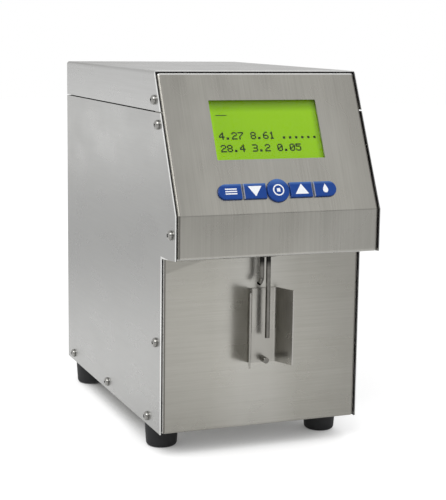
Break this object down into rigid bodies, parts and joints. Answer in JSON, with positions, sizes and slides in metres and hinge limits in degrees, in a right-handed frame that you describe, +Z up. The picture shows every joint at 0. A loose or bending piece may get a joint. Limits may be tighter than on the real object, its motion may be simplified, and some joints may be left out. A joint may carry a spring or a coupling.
{
  "type": "milk analyzer",
  "caption": "Bench milk analyzer: bent stainless housing on rubber feet, sloped display front with keys, intake and outlet tubes under the overhang, cup guide below.",
  "frame": {"origin": "centre of the bounding box at the plane the feet stand on", "axes": "the display front faces -Y, +Z is up, +X is to the right of someone facing the display"},
  "size_m": [0.1408, 0.251, 0.241],
  "materials": {
    "housing_steel": "brushed stainless sheet",
    "guide_steel": "folded stainless strip",
    "tube_steel": "drawn and polished stainless",
    "screw_steel": "bright zinc",
    "zinc_sheet": "zinc plated sheet",
    "foot_rubber": "matte moulded rubber",
    "grommet_rubber": "matte moulded rubber",
    "key_plastic": "blue moulded caps",
    "pane_acrylic": "clear acrylic pane",
    "bezel_metal": "black pressed frame",
    "display_cell": "yellow-green lit display",
    "white_plastic": "white diffuser",
    "nylon": "natural nylon",
    "circuit_board": "green laminate",
    "black_plastic": "black moulding",
    "pump_plastic": "black moulding",
    "rocker_plastic": "black gloss moulding",
    "cell_block": "milled stainless block",
    "transducer_metal": "turned cap",
    "motor_metal": "plated can",
    "hose_silicone": "translucent silicone",
    "transformer_tape": "yellow winding tape",
    "spacer_brass": "turned brass",
    "pin_brass": "nickel plated brass",
    "capacitor_sleeve": "dark sleeve",
    "sink_aluminium": "black anodised extrusion",
    "ribbon_plastic": "grey flat cable",
    "port_shell": "nickel plated shell"
  },
  "bodies": {
    "housing": {"body_wrap": "housing_steel", "lid": "housing_steel", "base_tray": "housing_steel", "display_panel": "housing_steel", "cup_guide": "guide_steel", "cup_peg": "guide_steel", "intake_tube": "tube_steel", "outlet_tube": "tube_steel", "cell_nipples": "tube_steel", "side_screws": "screw_steel", "rear_screws": "screw_steel", "foot_screws": "screw_steel", "frame_screws": "screw_steel", "base_screws": "screw_steel", "inner_nuts": "screw_steel", "panel_studs": "screw_steel", "transformer_bolt": "screw_steel", "jack_screws": "screw_steel", "lid_rail": "zinc_sheet", "inner_frame": "zinc_sheet", "chassis_shelf": "zinc_sheet", "feet": "foot_rubber", "tube_grommet": "grommet_rubber", "display_window": "pane_acrylic", "display_bezel": "bezel_metal", "display_glass": "display_cell", "display_backlight": "white_plastic", "panel_spacers": "nylon", "display_board": "circuit_board", "key_board": "circuit_board", "main_board": "circuit_board", "key_switches": "black_plastic", "board_chips": "black_plastic", "power_inlet": "black_plastic", "rocker_switch": "black_plastic", "pump_housing": "pump_plastic", "sensor_cell": "cell_block", "transducers": "transducer_metal", "pump_motor": "motor_metal", "intake_hose": "hose_silicone", "pump_hose": "hose_silicone", "transformer": "transformer_tape", "board_spacers": "spacer_brass", "inlet_pins": "pin_brass", "board_capacitors": "capacitor_sleeve", "heat_sink": "sink_aluminium", "ribbon_cable": "ribbon_plastic", "serial_ports": "port_shell"},
    "left_end_key": {"left_end_key": "key_plastic"},
    "down_key": {"down_key": "key_plastic"},
    "enter_key": {"enter_key": "key_plastic"},
    "up_key": {"up_key": "key_plastic"},
    "right_end_key": {"right_end_key": "key_plastic"},
    "rocker": {"rocker": "rocker_plastic"},
    "pump_rotor": {"pump_rotor": "pump_plastic", "rotor_cap": "pump_plastic", "pump_shaft": "tube_steel"},
    "pump_roller_1": {"pump_roller_1": "nylon"},
    "pump_roller_2": {"pump_roller_2": "nylon"},
    "pump_roller_3": {"pump_roller_3": "nylon"}
  },
  "joints": [
    {"name": "left_end_key_press", "type": "slide", "parent": "housing", "child": "left_end_key", "axis": [0, 0.8987, -0.4386], "range_m": [0, 0.0008], "stiffness_N_per_m": 1500},
    {"name": "down_key_press", "type": "slide", "parent": "housing", "child": "down_key", "axis": [0, 0.8987, -0.4386], "range_m": [0, 0.0008], "stiffness_N_per_m": 1500},
    {"name": "enter_key_press", "type": "slide", "parent": "housing", "child": "enter_key", "axis": [0, 0.8987, -0.4386], "range_m": [0, 0.0008], "stiffness_N_per_m": 1500},
    {"name": "up_key_press", "type": "slide", "parent": "housing", "child": "up_key", "axis": [0, 0.8987, -0.4386], "range_m": [0, 0.0008], "stiffness_N_per_m": 1500},
    {"name": "right_end_key_press", "type": "slide", "parent": "housing", "child": "right_end_key", "axis": [0, 0.8987, -0.4386], "range_m": [0, 0.0008], "stiffness_N_per_m": 1500},
    {"name": "rocker_flip", "type": "hinge", "parent": "housing", "child": "rocker", "pos_m": [0.012, 0.1195, 0.048], "axis": [1, 0, 0], "range_deg": [-20, 0]},
    {"name": "pump_spin", "type": "hinge", "parent": "housing", "child": "pump_rotor", "pos_m": [0.03067, -0.0335, 0.078], "axis": [0, 1, 0], "continuous": true},
    {"name": "pump_roller_1_roll", "type": "hinge", "parent": "pump_rotor", "child": "pump_roller_1", "pos_m": [0.03067, -0.0335, 0.0867], "axis": [0, 1, 0], "continuous": true},
    {"name": "pump_roller_2_roll", "type": "hinge", "parent": "pump_rotor", "child": "pump_roller_2", "pos_m": [0.02313, -0.0335, 0.07365], "axis": [0, 1, 0], "continuous": true},
    {"name": "pump_roller_3_roll", "type": "hinge", "parent": "pump_rotor", "child": "pump_roller_3", "pos_m": [0.0382, -0.0335, 0.07365], "axis": [0, 1, 0], "continuous": true}
  ],
  "couplings": [
    {"joint": "pump_roller_1_roll", "follows": "pump_spin", "ratio": -2.8125},
    {"joint": "pump_roller_2_roll", "follows": "pump_spin", "ratio": -2.8125},
    {"joint": "pump_roller_3_roll", "follows": "pump_spin", "ratio": -2.8125}
  ]
}
